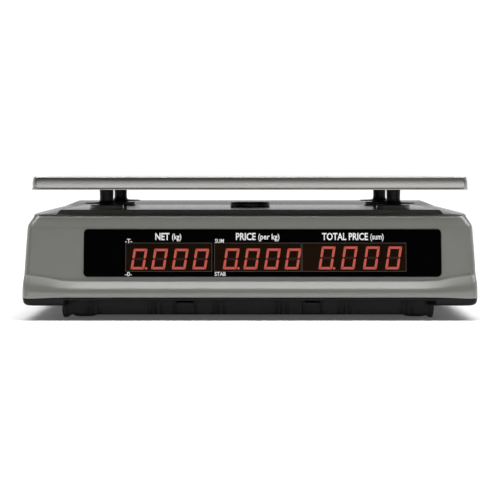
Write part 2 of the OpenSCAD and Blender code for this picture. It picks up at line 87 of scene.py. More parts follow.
def facing(node, outward, right):
    """The frame on the flat side of a CAD node that looks outward, at the middle of that side."""
    outward, right = Vector(outward).normalized(), Vector(right)
    mesh = frame["nodes"][node].data
    faces = [f for f in mesh.polygons if f.normal.dot(outward) > ROUGHLY_ALIKE]
    average = sum((f.normal * f.area for f in faces), Vector()).normalized()
    best = max(faces, key=lambda f: f.area * (f.normal.dot(average) > ALIKE))
    normal = best.normal.copy()
    x_axis = (right - normal * right.dot(normal)).normalized()
    y_axis = normal.cross(x_axis)
    turn = Matrix((x_axis, y_axis, normal)).transposed()
    points = [turn.transposed() @ (v.co / MM) for v in mesh.vertices]
    top = (turn.transposed() @ (best.center / MM)).z
    spans = [[p[i] for p in points] for i in (0, 1)]
    centre = Vector([(min(span) + max(span)) / 2 for span in spans] + [top])
    return Matrix.Translation(turn @ centre) @ turn.to_4x4()


def at(frame_matrix, x=0.0, y=0.0, z=0.0):
    return frame_matrix @ Matrix.Translation((x, y, z))


CASE_LOW, CASE_HIGH = box("upper_housing")
HALF_W = CASE_HIGH.x
LIP = CASE_HIGH.y
PLATTER_LOW, PLATTER_HIGH = box("platter")
DECK_Y = middle("centre_plug").y
PLUG_HEAD = 3.65
DECK_RISE = 3.15
HUMP_RISE = 3.0
DECK_TOP = box("centre_plug")[1].z - PLUG_HEAD
SHOULDER = DECK_TOP - DECK_RISE
HUMP = DECK_TOP + HUMP_RISE
POSTS = ("post_near_left", "post_far_left", "post_near_right", "post_far_right")
KEYS = [n for n in sorted(frame["nodes"]) if n.startswith("key_")]
FEET = ("foot_near_left", "foot_near_right", "foot_far_left", "foot_far_right")

# Rough directions out of a face of the scale, and to its viewer's right.
ON_CONSOLE = ((0, 0.47, 0.88), (-1, 0, 0))
ON_SIDE = ((1, 0, 0.05), (0, 1, 0))
CUSTOMER = facing("customer_window", (0, -1, 0.15), (1, 0, 0))
OPERATOR = facing("operator_window", *ON_CONSOLE)
SWITCH = facing("switch_body", *ON_SIDE)
INLET = facing("mains_inlet", *ON_SIDE)


# ---- meshes

# A length too short to see.
TINY = 0.01


def smooth(t):
    t = min(max(t, 0.0), 1.0)
    return t * t * (3 - 2 * t)


def mix(a, b, t):
    return a + (b - a) * t


def rounded(w, d, r, corner=8, cx=0.0, cy=0.0):
    """A rounded rectangle as a list of (x, y), the same number of points whatever its size."""
    r = max(min(r, w / 2 - TINY, d / 2 - TINY), TINY)
    points = []
    for k, (sx, sy) in enumerate(((1, 1), (-1, 1), (-1, -1), (1, -1))):
        for i in range(corner + 1):
            angle = radians(90 * (k + i / corner))
            points.append((cx + sx * (w / 2 - r) + r * cos(angle),
                           cy + sy * (d / 2 - r) + r * sin(angle)))
    return points


def skin(bm, loops):
    """Faces between closed loops of points with the same count. Returns the rows of vertices."""
    rows = [[bm.verts.new(p) for p in loop] for loop in loops]
    count = len(rows[0])
    for low, high in zip(rows, rows[1:]):
        for i in range(count):
            j = (i + 1) % count
            bm.faces.new((low[i], low[j], high[j], high[i]))
    return rows


def loft(loops, caps=(True, True)):
    """A skin over closed loops, capped at its ends."""
    bm = bmesh.new()
    rows = skin(bm, loops)
    if caps[0]:
        bm.faces.new(list(reversed(rows[0])))
    if caps[1]:
        bm.faces.new(rows[-1])
    return bm


def stack(layers, corner=8, cx=0.0, cy=0.0):
    """Rounded rectangles (z, width, depth, radius) lofted one on another."""
    return loft([[(x, y, z) for x, y in rounded(w, d, r, corner, cx, cy)] for z, w, d, r in layers])


def slab(w, d, low, high, r, edge=0.3, corner=8, cx=0.0, cy=0.0, both=False):
    """A flat plate with a rounded top edge, and a rounded lower one where both is true."""
    # Each step of the rounding: how far from the face, and how much narrower.
    rim = [(edge, 0), (edge * 0.45, edge * 0.4), (edge * 0.12, edge * 1.1), (0, 2 * edge)]
    layers = [(high - down, w - less, d - less, r) for down, less in rim]
    if both:
        layers = [(low + up, w - less, d - less, r) for up, less in reversed(rim)] + layers
    else:
        layers = [(low, w, d, r)] + layers
    return stack(layers, corner, cx, cy)


# How far in from the widest line of a knurled piece its teeth reach.
KNURL_REACH = 0.35


def lathe(profile, centre=(0.0, 0.0), steps=64, teeth=0, depth=0.0, ring=False):
    """A profile of (radius, z) turned about a vertical axis. teeth and depth knurl its widest part."""
    widest = max(r for r, _ in profile)
    loops = []
    for r, z in profile:
        loop = []
        for i in range(steps):
            angle = 2 * pi * i / steps
            knurl = depth * cos(teeth * angle) if teeth and r > widest - KNURL_REACH else 0.0
            reach = r + knurl
            loop.append((centre[0] + reach * cos(angle), centre[1] + reach * sin(angle), z))
        loops.append(loop)
    if ring:
        return loft(loops + loops[:1], caps=(False, False))
    return loft(loops)


def merged(*parts):
    """Several bmeshes as one. The parts are used up."""
    bm = bmesh.new()
    for part in parts:
        mesh = as_mesh("part", part)
        bm.from_mesh(mesh)
        bpy.data.meshes.remove(mesh)
    return bm


def block(w, d, low, high, r, **more):
    """A sharp-edged slab, to cut with."""
    return slab(w, d, low, high, r, edge=TINY, **more)


def above(floor, profile):
    """A lathe's profile, raised by floor."""
    return [(r, floor + z) for r, z in profile]


def moved(bm, matrix):
    bmesh.ops.transform(bm, matrix=matrix, verts=bm.verts)
    return bm


def placed(name, data):
    """A new object in the scene, round a mesh, a curve, a light or a camera."""
    obj = bpy.data.objects.new(name, data)
    bpy.context.scene.collection.objects.link(obj)
    return obj


def as_mesh(name, bm):
    """The bmesh as a mesh. The bmesh is used up."""
    mesh = bpy.data.meshes.new(name)
    bm.to_mesh(mesh)
    bm.free()
    return mesh


def evaluated(work):
    """An object's final shape as a bmesh. The object is used up."""
    bpy.context.view_layer.update()
    depsgraph = bpy.context.evaluated_depsgraph_get()
    mesh = bpy.data.meshes.new_from_object(work.evaluated_get(depsgraph))
    bm = bmesh.new()
    bm.from_mesh(mesh)
    bpy.data.objects.remove(work)
    bpy.data.meshes.remove(mesh)
    return bm


def with_modifiers(bm, setup):
    """The bmesh after the modifiers that setup adds to an object made of it."""
    bmesh.ops.remove_doubles(bm, verts=bm.verts, dist=1e-5)
    bmesh.ops.recalc_face_normals(bm, faces=bm.faces)
    work = placed("work", as_mesh("work", bm))
    setup(work)
    return evaluated(work)


def thickened(bm, thickness):
    def setup(work):
        solid = work.modifiers.new("wall", "SOLIDIFY")
        solid.thickness = thickness
        solid.offset = -1
    return with_modifiers(bm, setup)


def carved(bm, cutter):
    """The bmesh with the cutter's space taken out."""
    bmesh.ops.recalc_face_normals(cutter, faces=cutter.faces)
    tool = placed("cutter", as_mesh("cutter", cutter))

    def setup(work):
        cut = work.modifiers.new("cut", "BOOLEAN")
        cut.object = tool
        cut.operation = "DIFFERENCE"
        cut.solver = "EXACT"
    out = with_modifiers(bm, setup)
    bpy.data.objects.remove(tool)
    bmesh.ops.remove_doubles(out, verts=out.verts, dist=TINY)
    bmesh.ops.dissolve_degenerate(out, edges=out.edges, dist=TINY)
    return out


def piece(name, bm, material, stands_for=(), body="housing", sharp=32):
    """One visible piece from a bmesh in millimetres. Edges sharper than sharp degrees stay crisp."""
    bmesh.ops.recalc_face_normals(bm, faces=bm.faces)
    for face in bm.faces:
        face.smooth = True
    for edge in bm.edges:
        edge.smooth = len(edge.link_faces) != 2 or edge.calc_face_angle(0.0) < radians(sharp)
    bmesh.ops.scale(bm, vec=(MM, MM, MM), verts=bm.verts)
    mesh = as_mesh(name, bm)
    mesh.materials.append(material)
    obj = placed(name, mesh)
    normals = obj.modifiers.new("normals", "WEIGHTED_NORMAL")
    normals.keep_sharp = True
    normals.weight = 60
    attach(obj, body)
    if stands_for:
        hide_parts(*stands_for)


# A capital's share of the font's size, and half the print's thickness.
CAPITAL_SHARE = 0.70
PRINT_HALF = 0.03


def lettering(name, words, place, size, width, material, body, bold=0.0):
    """Flat raised print. place is the frame of its middle, size its capital height."""
    curve = bpy.data.curves.new(name, "FONT")
    curve.body = words
    curve.size = size / CAPITAL_SHARE
    curve.offset = bold
    curve.extrude = PRINT_HALF
    curve.align_x = "CENTER"
    curve.resolution_u = 3
    bm = evaluated(placed("work", curve))
    bmesh.ops.remove_doubles(bm, verts=bm.verts, dist=1e-4)
    across = [v.co.x for v in bm.verts]
    squeeze = width / (max(across) - min(across)) if width else 1.0
    centre = (max(across) + min(across)) / 2
    stretch = Matrix.Diagonal((squeeze, 1, 1, 1))
    moved(bm, place @ stretch @ Matrix.Translation((-centre, -size / 2, PRINT_HALF)))
    piece(name, bm, material, body=body)


# ---- materials

# The middle of the range of a noise, where most of it lies.
MIDRANGE = (0.3, 0.7)


def connect(tree, node, **inputs):
    """Sets each named input, or links it where it is given a socket. _ stands for a space."""
    for name, value in inputs.items():
        socket = node.inputs[name.replace("_", " ")]
        if isinstance(value, bpy.types.NodeSocket):
            tree.links.new(value, socket)
        else:
            socket.default_value = value


def add(tree, kind, **inputs):
    node = tree.nodes.new("ShaderNode" + kind)
    connect(tree, node, **inputs)
    return node


def material(name, color, rough, metal=0.0, coat=0.0, specular=0.5, aniso=0.0):
    """A Principled material and its node tree, for the functions below to add detail to."""
    mat = bpy.data.materials.new(name)
    mat.use_nodes = True
    tree = mat.node_tree
    shader = tree.nodes["Principled BSDF"]
    connect(tree, shader, Base_Color=(*color, 1), Roughness=rough, Metallic=metal, Coat_Weight=coat,
            Coat_Roughness=0.08, Specular_IOR_Level=specular, Anisotropic=aniso)
    return mat, tree, shader


def noise(tree, scale, detail=3.0, stretch=(1, 1, 1), rough=0.55):
    """Noise over the piece's own place in the frame. scale is in turns a metre."""
    coords = add(tree, "TexCoord")
    mapping = add(tree, "Mapping", Scale=stretch, Vector=coords.outputs["Object"])
    texture = add(tree, "TexNoise", Scale=scale, Detail=detail, Roughness=rough,
                  Vector=mapping.outputs["Vector"])
    return texture.outputs["Fac"]


def ramped(tree, value, span, result, curve="SMOOTHSTEP"):
    """The value mapped from span to result, along a curve."""
    node = add(tree, "MapRange", Value=value, From_Min=span[0], From_Max=span[1],
               To_Min=result[0], To_Max=result[1])
    node.interpolation_type = curve
    return node.outputs["Result"]


def gloss(tree, shader, value, low, high):
    """Varies the surface's roughness between low and high."""
    connect(tree, shader, Roughness=ramped(tree, value, MIDRANGE, (low, high), "LINEAR"))


def tint(tree, shader, value, dark, light):
    """Colours the surface between dark and light."""
    ramp = add(tree, "ValToRGB", Fac=value)
    for end, place, color in zip(ramp.color_ramp.elements, MIDRANGE, (dark, light)):
        end.position = place
        end.color = (*color, 1)
    connect(tree, shader, Base_Color=ramp.outputs["Color"])


def relief(tree, shader, value, strength, depth):
    """Bump of a depth in millimetres."""
    bump = add(tree, "Bump", Strength=strength, Distance=depth * MM, Height=value)
    connect(tree, shader, Normal=bump.outputs["Normal"])


def scaled(color, factor):
    return tuple(c * factor for c in color)


def moulded(name, color, rough, grain=1600, depth=0.05, coat=0.0, specular=0.5, vary=0.04, uneven=0.08):
    """Moulded plastic: spark-eroded grain, slightly uneven colour and gloss."""
    mat, tree, shader = material(name, color, rough, coat=coat, specular=specular)
    tint(tree, shader, noise(tree, 14, 4), scaled(color, 1 - vary), scaled(color, 1 + vary))
    if uneven:
        gloss(tree, shader, noise(tree, 45, 4), rough * (1 - uneven), rough * (1 + uneven))
    relief(tree, shader, noise(tree, grain, 2), 0.25, depth)
    return mat


def brushed(name, color, rough, stretch, aniso=0.5, streak=0.12, depth=0.02):
    """Sheet metal with fine brush lines along the short axis of stretch."""
    mat, tree, shader = material(name, color, rough, metal=1.0, aniso=aniso)
    lines = noise(tree, 1.0, 5, stretch, 0.7)
    tint(tree, shader, lines, scaled(color, 1 - streak), scaled(color, 1 + streak * 0.6))
    gloss(tree, shader, noise(tree, 1.0, 4, scaled(stretch, 0.6)), rough * 0.8, rough * 1.25)
    relief(tree, shader, lines, 0.3, depth)
    return mat


def glossy(name, color, rough, coat=0.0, specular=0.5):
    """Polished acrylic: hardly any relief, and faint wipe marks in its gloss."""
    mat, tree, shader = material(name, color, rough, coat=coat, specular=specular)
    tint(tree, shader, noise(tree, 20, 3), scaled(color, 0.85), scaled(color, 1.15))
    gloss(tree, shader, noise(tree, 25, 5, (1, 4, 4)), rough * 0.7, rough * 1.6)
    return mat


def lit(name, color, glow):
    """A display segment that gives off its own colour. For an unlit segment the faint glow is painted light.
    """
    mat, tree, shader = material(name, scaled(color, 0.25), 0.4, specular=0.1)
    connect(tree, shader, Emission_Color=(*color, 1), Emission_Strength=glow)
    tint(tree, shader, noise(tree, 900, 2), scaled(color, 0.2), scaled(color, 0.3))
    return mat


def board_green(name):
    """Solder mask over copper tracks."""
    mat, tree, shader = material(name, (0.015, 0.09, 0.035), 0.3, coat=0.4)
    coords = add(tree, "TexCoord")
    tracks = add(tree, "TexVoronoi", Scale=180, Vector=coords.outputs["Object"])
    tracks.distance = "MANHATTAN"
    tracks.feature = "DISTANCE_TO_EDGE"
    tint(tree, shader, tracks.outputs["Distance"], (0.03, 0.16, 0.06), (0.012, 0.08, 0.03))
    return mat


GREY = (0.192, 0.192, 0.176)
M = {
    "casing": moulded("warm grey casing", GREY, 0.27, grain=1500, depth=0.004, specular=0.95,
                      vary=0.006, uneven=0),
    # The deck and the collars: the casing's grey darkened to six tenths, painted shade under the platter.
    "deck": moulded("warm grey deck in painted shade", scaled(GREY, 0.6), 0.18, grain=1500, depth=0.004,
                    specular=0.5, uneven=0),
    "base": moulded("black base", (0.0065, 0.0065, 0.0067), 0.42, grain=900, depth=0.06, specular=0.15),
    "post": moulded("black post", (0.006, 0.006, 0.0066), 0.30, grain=2200, depth=0.02, specular=0.15),
    "rubber": moulded("rubber", (0.018, 0.018, 0.018), 0.75, grain=700, depth=0.1, specular=0.3),
    "steel": brushed("brushed stainless", (0.40, 0.395, 0.38), 0.36, (6, 900, 900), aniso=0.3, streak=0.04,
                     depth=0.002),
    "zinc": brushed("zinc plate", (0.55, 0.56, 0.58), 0.35, (300, 300, 300), aniso=0.0, streak=0.2),
    "aluminium": brushed("milled aluminium", (0.62, 0.63, 0.65), 0.3, (1200, 30, 1200), streak=0.1),
    "frame_paint": moulded("spider paint", (0.03, 0.032, 0.035), 0.45, grain=600, depth=0.1),
    "window": glossy("display acrylic", (0.0006, 0.0006, 0.0007), 0.06, specular=0.1),
    "module": glossy("display module", (0.0110, 0.0050, 0.0018), 0.3, specular=0.03),
    "module_edge": glossy("display module edge", (0.05, 0.032, 0.022), 0.4, coat=0.1),
    "segment": lit("lit segment", (0.60, 0.115, 0.088), 0.62),
    # Unlit segments glow faintly: a painted glow on segments that are switched off.
    "segment_off": lit("unlit segment with painted glow", (0.09, 0.03, 0.02), 0.1),
    "print": moulded("white print", (0.93, 0.93, 0.93), 0.5, grain=900, depth=0.004),
    "dark_print": moulded("dark print", (0.02, 0.021, 0.024), 0.5, grain=900, depth=0.004),
    "overlay": moulded("console film", (0.045, 0.052, 0.062), 0.4, grain=2500, depth=0.01, coat=0.1),
    "key": moulded("keycap", (0.50, 0.50, 0.475), 0.42, grain=1800, depth=0.02),
    "key_red": moulded("red keycap", (0.34, 0.035, 0.03), 0.42, grain=1800, depth=0.02),
    "key_dark": moulded("dark keycap", (0.10, 0.105, 0.115), 0.42, grain=1800, depth=0.02),
    "rocker": moulded("rocker", (0.16, 0.006, 0.006), 0.25, grain=2500, depth=0.01, coat=0.5),
    "brass": brushed("contact brass", (0.72, 0.60, 0.35), 0.25, (400, 400, 400), aniso=0.0),
    "board": board_green("circuit board"),
    "coil": moulded("varnished core", (0.07, 0.045, 0.03), 0.4, grain=500, depth=0.1, coat=0.3),
    "battery": glossy("battery case", (0.02, 0.028, 0.045), 0.35, coat=0.1),
    "vial": glossy("level liquid", (0.42, 0.55, 0.05), 0.06, coat=1.0),
    "bubble": glossy("level bubble", (0.78, 0.86, 0.42), 0.04, coat=1.0),
}


# ---- casing

SEAM = CASE_LOW.z
WALL = 2.4
SIDE_LEAN = tan(radians(3.1))
# The roof rises gently from the near edge, then swells into the hump.
RISE = ((-LIP, 0.0), (-LIP + 73, 1.0), (-LIP + 150, 1.6), (-LIP + 203, 2.0))
HUMP_Y = RISE[-1][0]
HUMP_LEN = 45.0
SLOPE_Y = 86.0
SLOPE_ROUND = 3
SLOPE = tan(atan2(OPERATOR.col[2].y, OPERATOR.col[2].z))
CORNER_R = 5.5
CORNER_STEPS = 9
ACROSS = 28
# Depths of the cross-sections of a side wall, close together where the roof bends.
SIDE_STATIONS = [-148, *range(-120, 1, 30), 14, 20, 23, 26, *range(30, 71, 4), 75, 80, 83, 84.5, 86, 87.5,
                 89, 92, 96, 100, 108, 118, 130, 142, 153]

# Each profile runs from the seam to the roof. Near one: height, and inset from the lip.
NEAR = [(-0.2, 1.2), (0.3, 0.5), (1.2, 0.1), (2.4, 0), (3.6, 0.1), (4.7, 0.4), (5.8, 1.0), (6.8, 1.8),
        (11.2, 6.15), (11.9, 6.6), (12.7, 6.85), (13.8, 7.05), (49.6, 12.7), (50.8, 12.95), (52.0, 13.35),
        (53.2, 13.95), (54.4, 14.63), (56.4, 15.78), (57.6, 16.5), (58.6, 17.15), (59.4, 17.8),
        (59.85, 18.6), (60.0, 19.7)]
# The first levels are the lip's own on every side. Those from LOWER up are a side wall's top edge.
LIP_LEVELS = 4
LOWER = 12
# Top of a side wall: depth below the roof's edge, and inset from the wall's own lean.
SHOULDER_EDGE = [(-10.4, 0), (-9.2, 0.1), (-8, 0.4), (-6.8, 0.95), (-5.6, 1.6), (-3.6, 2.75), (-2.3, 3.5),
                 (-1.7, 3.8), (-0.6, 3.9), (-0.15, 4.0), (0, 4.5)]
HUMP_EDGE = [(-15.2, 0), (-14.3, 0.1), (-13.4, 0.35), (-12.2, 0.9), (-10.6, 1.75), (-9, 2.6), (-7.4, 3.5),
             (-5.2, 5.2), (-2.5, 8.2), (-0.7, 11.0), (0, 12.6)]
CONSOLE_EDGE = [(-8, 0), (-7.2, 0.05), (-6.2, 0.2), (-5, 0.55), (-3.9, 1.05), (-2.9, 1.75), (-2, 2.6),
                (-1.3, 3.6), (-0.7, 4.7), (-0.25, 5.9), (0, 7.2)]
NOSE_EDGE = [(-10.9, 0), (-9.6, 0.08), (-8.2, 0.3), (-6.8, 0.7), (-5.5, 1.25), (-4.2, 2), (-3, 3),
             (-2, 4.2), (-1.2, 5.4), (-0.5, 6.7), (0, 8)]
SIDE_DROP = 2.5
# How far the lip's round and the crease over it rise towards the near corners, by level.
LIFT = {4: 0.4, 5: 1.2, 6: 2.4, 7: 3.8, 8: 4.4, 9: 4.5, 10: 4.5, 11: 4.5}
LIFT_START = 0.82
LIFT_LEN = 0.18
NOSE_LEN = 18
FACE_LEAN = tan(radians(9))
# How far up a side wall the levels of the lip and the crease lie.
SIDE_SHARE = (0.04, 0.08, 0.12, 0.16, 0.24, 0.30, 0.34, 0.38)


def roof(y):
    """Height of the roof at a depth y: shoulder, hump, then the console's slope."""
    for (y0, rise0), (y1, rise1) in zip(RISE, RISE[1:]):
        if y < y1:
            return SHOULDER + mix(rise0, rise1, (y - y0) / (y1 - y0))
    if y < HUMP_Y + HUMP_LEN:
        return mix(SHOULDER + RISE[-1][1], HUMP, smooth((y - HUMP_Y) / HUMP_LEN))
    if y < SLOPE_Y - SLOPE_ROUND:
        return HUMP
    if y < SLOPE_Y + SLOPE_ROUND:
        return HUMP - SLOPE * (y - SLOPE_Y + SLOPE_ROUND) ** 2 / (4 * SLOPE_ROUND)
    return HUMP - SLOPE * (y - SLOPE_Y)


def side_edge(i, y):
    """The side wall's top profile at a depth y."""
    over = smooth((y - HUMP_Y) / HUMP_LEN)
    down = smooth((y - SLOPE_Y + 4) / 18)
    z, inset = (mix(a, b, over) for a, b in zip(SHOULDER_EDGE[i], HUMP_EDGE[i]))
    return mix(z, CONSOLE_EDGE[i][0], down), mix(inset, CONSOLE_EDGE[i][1], down)


def side_point(level, y, top):
    """Height and inset of a side wall at a level."""
    if level < LIP_LEVELS:
        return SEAM - SIDE_DROP + NEAR[level][0], NEAR[level][1]
    z, extra = side_edge(max(level - LOWER, 0), y)
    z += top
    if level < LOWER:
        z = mix(SEAM + 4, z, SIDE_SHARE[level - LIP_LEVELS])
        extra = 0.0
    return z, extra + max(z - SEAM - 4, 0) * SIDE_LEAN


def nose_point(level, top):
    """Height and inset of the far wall, under the console's nose."""
    if level < LIP_LEVELS:
        return SEAM - SIDE_DROP + NEAR[level][0], NEAR[level][1]
    z, inset = NOSE_EDGE[max(level - LOWER, 0)]
    z += top
    if level < LOWER:
        z, inset = mix(SEAM + 2.5, z, (level - 3) / (LOWER - 3) * 0.9), 0.0
    return z, inset


def casing_loop(level):
    """The casing's outline at a level, and how many points are on a side of it."""
    near_z, near_in = SEAM + NEAR[level][0], NEAR[level][1]
    nose_z, nose_in = nose_point(level, roof(LIP - NOSE_EDGE[-1][1]))
    corner_z, corner_in = side_point(level, -LIP, SHOULDER)
    half_near = HALF_W - corner_in
    far_y = LIP - NOSE_LEN
    half_far = HALF_W - side_point(level, far_y, roof(far_y))[1]
    # Steps round a corner: how far along, and the distances from the side ahead and the one behind.
    corner = []
    for i in range(CORNER_STEPS + 1):
        angle = radians(90 * i / CORNER_STEPS)
        corner.append((smooth(i / CORNER_STEPS), CORNER_R * (1 - sin(angle)),
                       CORNER_R * (1 - cos(angle))))
    right = [(half_near - ahead, -LIP + near_in + behind, mix(near_z, corner_z, w))
             for w, ahead, behind in corner[1:]]
    for y in SIDE_STATIONS:
        z, inset = side_point(level, y, roof(y))
        right.append((HALF_W - inset, y, z))
    for w, ahead, behind in corner[:-1]:
        y, top_y = LIP - nose_in - ahead, LIP - NOSE_EDGE[-1][1] - ahead
        z = mix(side_point(level, top_y, roof(top_y))[0], nose_point(level, roof(top_y))[0], w)
        right.append((half_far - behind, y, z))
    steps = [i / ACROSS * 2 - 1 for i in range(ACROSS + 1)]
    lift = LIFT.get(level, -SIDE_DROP if level < LIP_LEVELS else 0.0)
    near = []
    for u in steps:
        rise = lift * smooth((abs(u) - LIFT_START) / (LIFT_LEN if lift > 0 else 2 * LIFT_LEN))
        near.append((u * (half_near - CORNER_R), -LIP + near_in + max(rise, 0) * FACE_LEAN, near_z + rise))
    if lift:
        dip = near[-1][2] - near_z
        right = [(x, y, z + mix(dip, 0, smooth(i / CORNER_STEPS)) if i < CORNER_STEPS else z)
                 for i, (x, y, z) in enumerate(right)]
    far = [(-u * (half_far - CORNER_R), LIP - nose_in, nose_z) for u in steps]
    left = [(-x, y, z) for x, y, z in reversed(right)]
    return near + right + far + left, len(right)


# The roof is open under the deck, this far to each side and from its near and far edges.
OPEN_HALF, OPEN_NEAR, OPEN_FAR = 130, 42, 8


def casing_surface():
    """Walls from the seam up, and a roof laid across between the left and right edges."""
    bm = bmesh.new()
    loops = [casing_loop(level) for level in range(len(NEAR))]
    sides = loops[0][1]
    top = skin(bm, [loop for loop, _ in loops])[-1]
    grid = [top[:ACROSS + 1]]
    for k in range(sides):
        right, left = top[ACROSS + 1 + k], top[-1 - k]
        inner = [bm.verts.new(left.co.lerp(right.co, i / ACROSS)) for i in range(1, ACROSS)]
        grid.append([left, *inner, right])
    grid.append(list(reversed(top[ACROSS + 1 + sides:ACROSS * 2 + 2 + sides])))
    for low, high in zip(grid, grid[1:]):
        for i in range(ACROSS):
            face = bm.faces.new((low[i], low[i + 1], high[i + 1], high[i]))
            centre = face.calc_center_median()
            if abs(centre.x) < OPEN_HALF and -LIP + OPEN_NEAR < centre.y < HUMP_Y - OPEN_FAR:
                bm.faces.remove(face)
    return bm


def key_size(node):
    return width_of(node) - 2


def key_frame(node):
    return facing(node, *ON_CONSOLE)


KEY_H = 11.5
KEY_GAP = 1.2


def key_wells():
    """Cutters for the keys' openings."""
    return [moved(block(key_size(k) + KEY_GAP, KEY_H + KEY_GAP, -8, 6, 1.8), key_frame(k)) for k in KEYS]


COLLAR = [(8.0, -0.6), (13.6, -0.6), (13.5, 0.1), (13.25, 0.5), (13.1, 1.9), (12.95, 2.35), (12.6, 2.62),
          (12.2, 2.7), (8.5, 2.7), (8.1, 2.5), (8.0, 2.1)]


def make_casing():
    window_w = width_of("customer_window")
    cutters = [moved(block(window_w + 0.6, 36.3, -2.1, 8, 3.3), CUSTOMER),
               moved(block(window_w + 0.5, 34.5, -2.1, 8, 3.3), OPERATOR),
               moved(block(19.2, 19.2, -9, 5, 1), SWITCH),
               moved(block(19.2, 10.8, -9, 5, 1), INLET)]
    shell = carved(thickened(casing_surface(), WALL), merged(*cutters, *key_wells()))
    piece("casing_shell", shell, M["casing"], ("upper_housing",), sharp=30)

    # The deck, in the casing's grey darkened as painted shade under the platter.
    near, far = -LIP + 27, HUMP_Y + 23
    depth, cy = far - near, (near + far) / 2
    deck = stack([(SHOULDER - 2.4, 292.2, depth - 0.4, 1.8), (SHOULDER + 0.05, 292.6, depth, 1.8),
                  (SHOULDER + 2.55, 288.0, depth - 6.4, 1.5), (SHOULDER + 2.95, 287.2, depth - 7.4, 1.4),
                  (DECK_TOP, 286.0, depth - 8.6, 1.2)], corner=4, cy=cy)
    holes = [lathe([(8, SHOULDER - 6), (8, DECK_TOP + 6)], middle(p).xy) for p in POSTS]
    holes.append(lathe([(10.2, SHOULDER - 6), (10.2, DECK_TOP + 6)], (0, DECK_Y)))
    piece("casing_deck", carved(deck, merged(*holes)), M["deck"], sharp=30)

    for post in POSTS:
        # The collars take the deck's darkened grey, painted shade under the platter.
        collar = lathe(above(DECK_TOP, COLLAR), middle(post).xy, ring=True)
        piece("collar" + post[4:], collar, M["deck"])


# ---- base

TUB_W, TUB_D = 279.0, 320.0
TUB_X = -1.5
NEAR_SHELF_W = 274.0
FLANGE_LOW = 10.5
TUB_LOW = 2.5
PILLAR_PITCH = 47.1
# Middle and half width of the two channel mouths in a long wall of the tub.
MOUTHS = ((-49.0, 7.4), (47.0, 6.6))


def base_ring(w, d, r, z, near_z=None, cx=0.0):
    """A rounded rectangle at height z. Its near side is at near_z between the tub's corners."""
    points = [(x, y, z) for x, y in rounded(w, d, r, CORNER_STEPS, cx)]
    reach = min(w / 2 - r - 1.5, NEAR_SHELF_W / 2)
    middle_z = z if near_z is None else near_z
    shelf = [(cx - reach - 1, -d / 2, z), (cx - reach, -d / 2, middle_z), (cx + reach, -d / 2, middle_z),
             (cx + reach + 1, -d / 2, z)]
    third = 3 * (CORNER_STEPS + 1)
    return points[:third] + shelf + points[third:]


def base_tub():
    """Outer skin from the tub's floor up over the flange, then down inside to an inner floor."""
    w, d = 2 * HALF_W - 0.8, 2 * LIP - 0.8
    side, low = SEAM - 0.25, FLANGE_LOW
    tub = [(-2.4, 6, TUB_LOW, None), (-0.8, 7, TUB_LOW + 0.35, None), (0, 7, TUB_LOW + 1.2, None),
           (0.6, 7, low - 0.8, 13.4), (1.4, 7, low - 0.1, 14.2), (3.4, 6, low + 0.1, 14.4)]
    loops = [base_ring(TUB_W + grow, TUB_D + grow, r, z, near_z, TUB_X) for grow, r, z, near_z in tub]
    flange = [(-9, 4, low + 0.1, 14.4), (-6.4, 4, low + 0.3, 14.45), (-3.8, 4, low + 0.9, 14.6),
              (-1.8, 4, low + 1.9, 14.9), (-0.6, 4, low + 3.3, 15.4), (0, 4, side - 0.5, None),
              (-0.7, 4, side, None), (-6, 3, side, None), (-6, 3, low + 3.6, 15.6)]
    loops += [base_ring(w + grow, d + grow, r, z, near_z) for grow, r, z, near_z in flange]
    loops.append(base_ring(TUB_W - 4, TUB_D - 4, 5, low + 3.6, 15.6, TUB_X))
    loops.append(base_ring(TUB_W - 5, TUB_D - 5, 4, TUB_LOW + 2.4, None, TUB_X))
    return loft(loops)


def tub_panel(x0, x1, out, low, high):
    """A raised field on the near wall of the tub, between two grooves."""
    w, h = x1 - x0, high - low
    face = Matrix.Translation(((x0 + x1) / 2, -TUB_D / 2 + 0.6, (low + high) / 2))
    upright = Matrix.Rotation(pi / 2, 4, "X")
    return moved(slab(w, h, 0, out, 0.5, edge=0.35, corner=3), face @ upright)


def round_pillar(x, out, low, high):
    """A pillar with a flattened round front and a fine rib up its middle."""
    half = 4.2
    loops = []
    for z in (low, high):
        loop = [(x + half, -TUB_D / 2 + 1, z)]
        for i in range(13):
            u = cos(pi * i / 12)
            bulge = out * (1 - u * u * 0.35 - 0.65 * u ** 8)
            loop.append((x + half * u, -TUB_D / 2 + 0.6 - bulge - (0.7 if i == 6 else 0), z))
        loop.append((x - half, -TUB_D / 2 + 1, z))
        loops.append(loop)
    return loft(loops)


def near_wall_relief():
    """Fields, pillars and the jambs of the channel mouths along the near wall of the tub."""
    low, high, jamb = TUB_LOW + 0.5, FLANGE_LOW + 3.0, 0.55
    pillars = [(i - 2.5) * PILLAR_PITCH for i in range(6)]
    edges = [x + s * 5.4 for x in pillars for s in (-1, 1)]
    edges = [TUB_X - TUB_W / 2 + 4] + edges + [TUB_X + TUB_W / 2 - 4]
    parts = [round_pillar(x, 1.7, TUB_LOW + 0.3, FLANGE_LOW + 3.4) for x in pillars]
    for x0, x1 in zip(edges[::2], edges[1::2]):
        spans = [(x0, x1)]
        for x, half in MOUTHS:
            if not x0 < x < x1:
                continue
            spans = [(x0, x - half - 2 * jamb), (x + half + 2 * jamb, x1)]
            for s in (-1, 1):
                mid = x + s * (half + jamb)
                parts.append(tub_panel(mid - jamb, mid + jamb, 2.0, low, FLANGE_LOW + 3.2))
        parts += [tub_panel(a, b, 1.1, low, high) for a, b in spans if b - a > 2]
    return parts


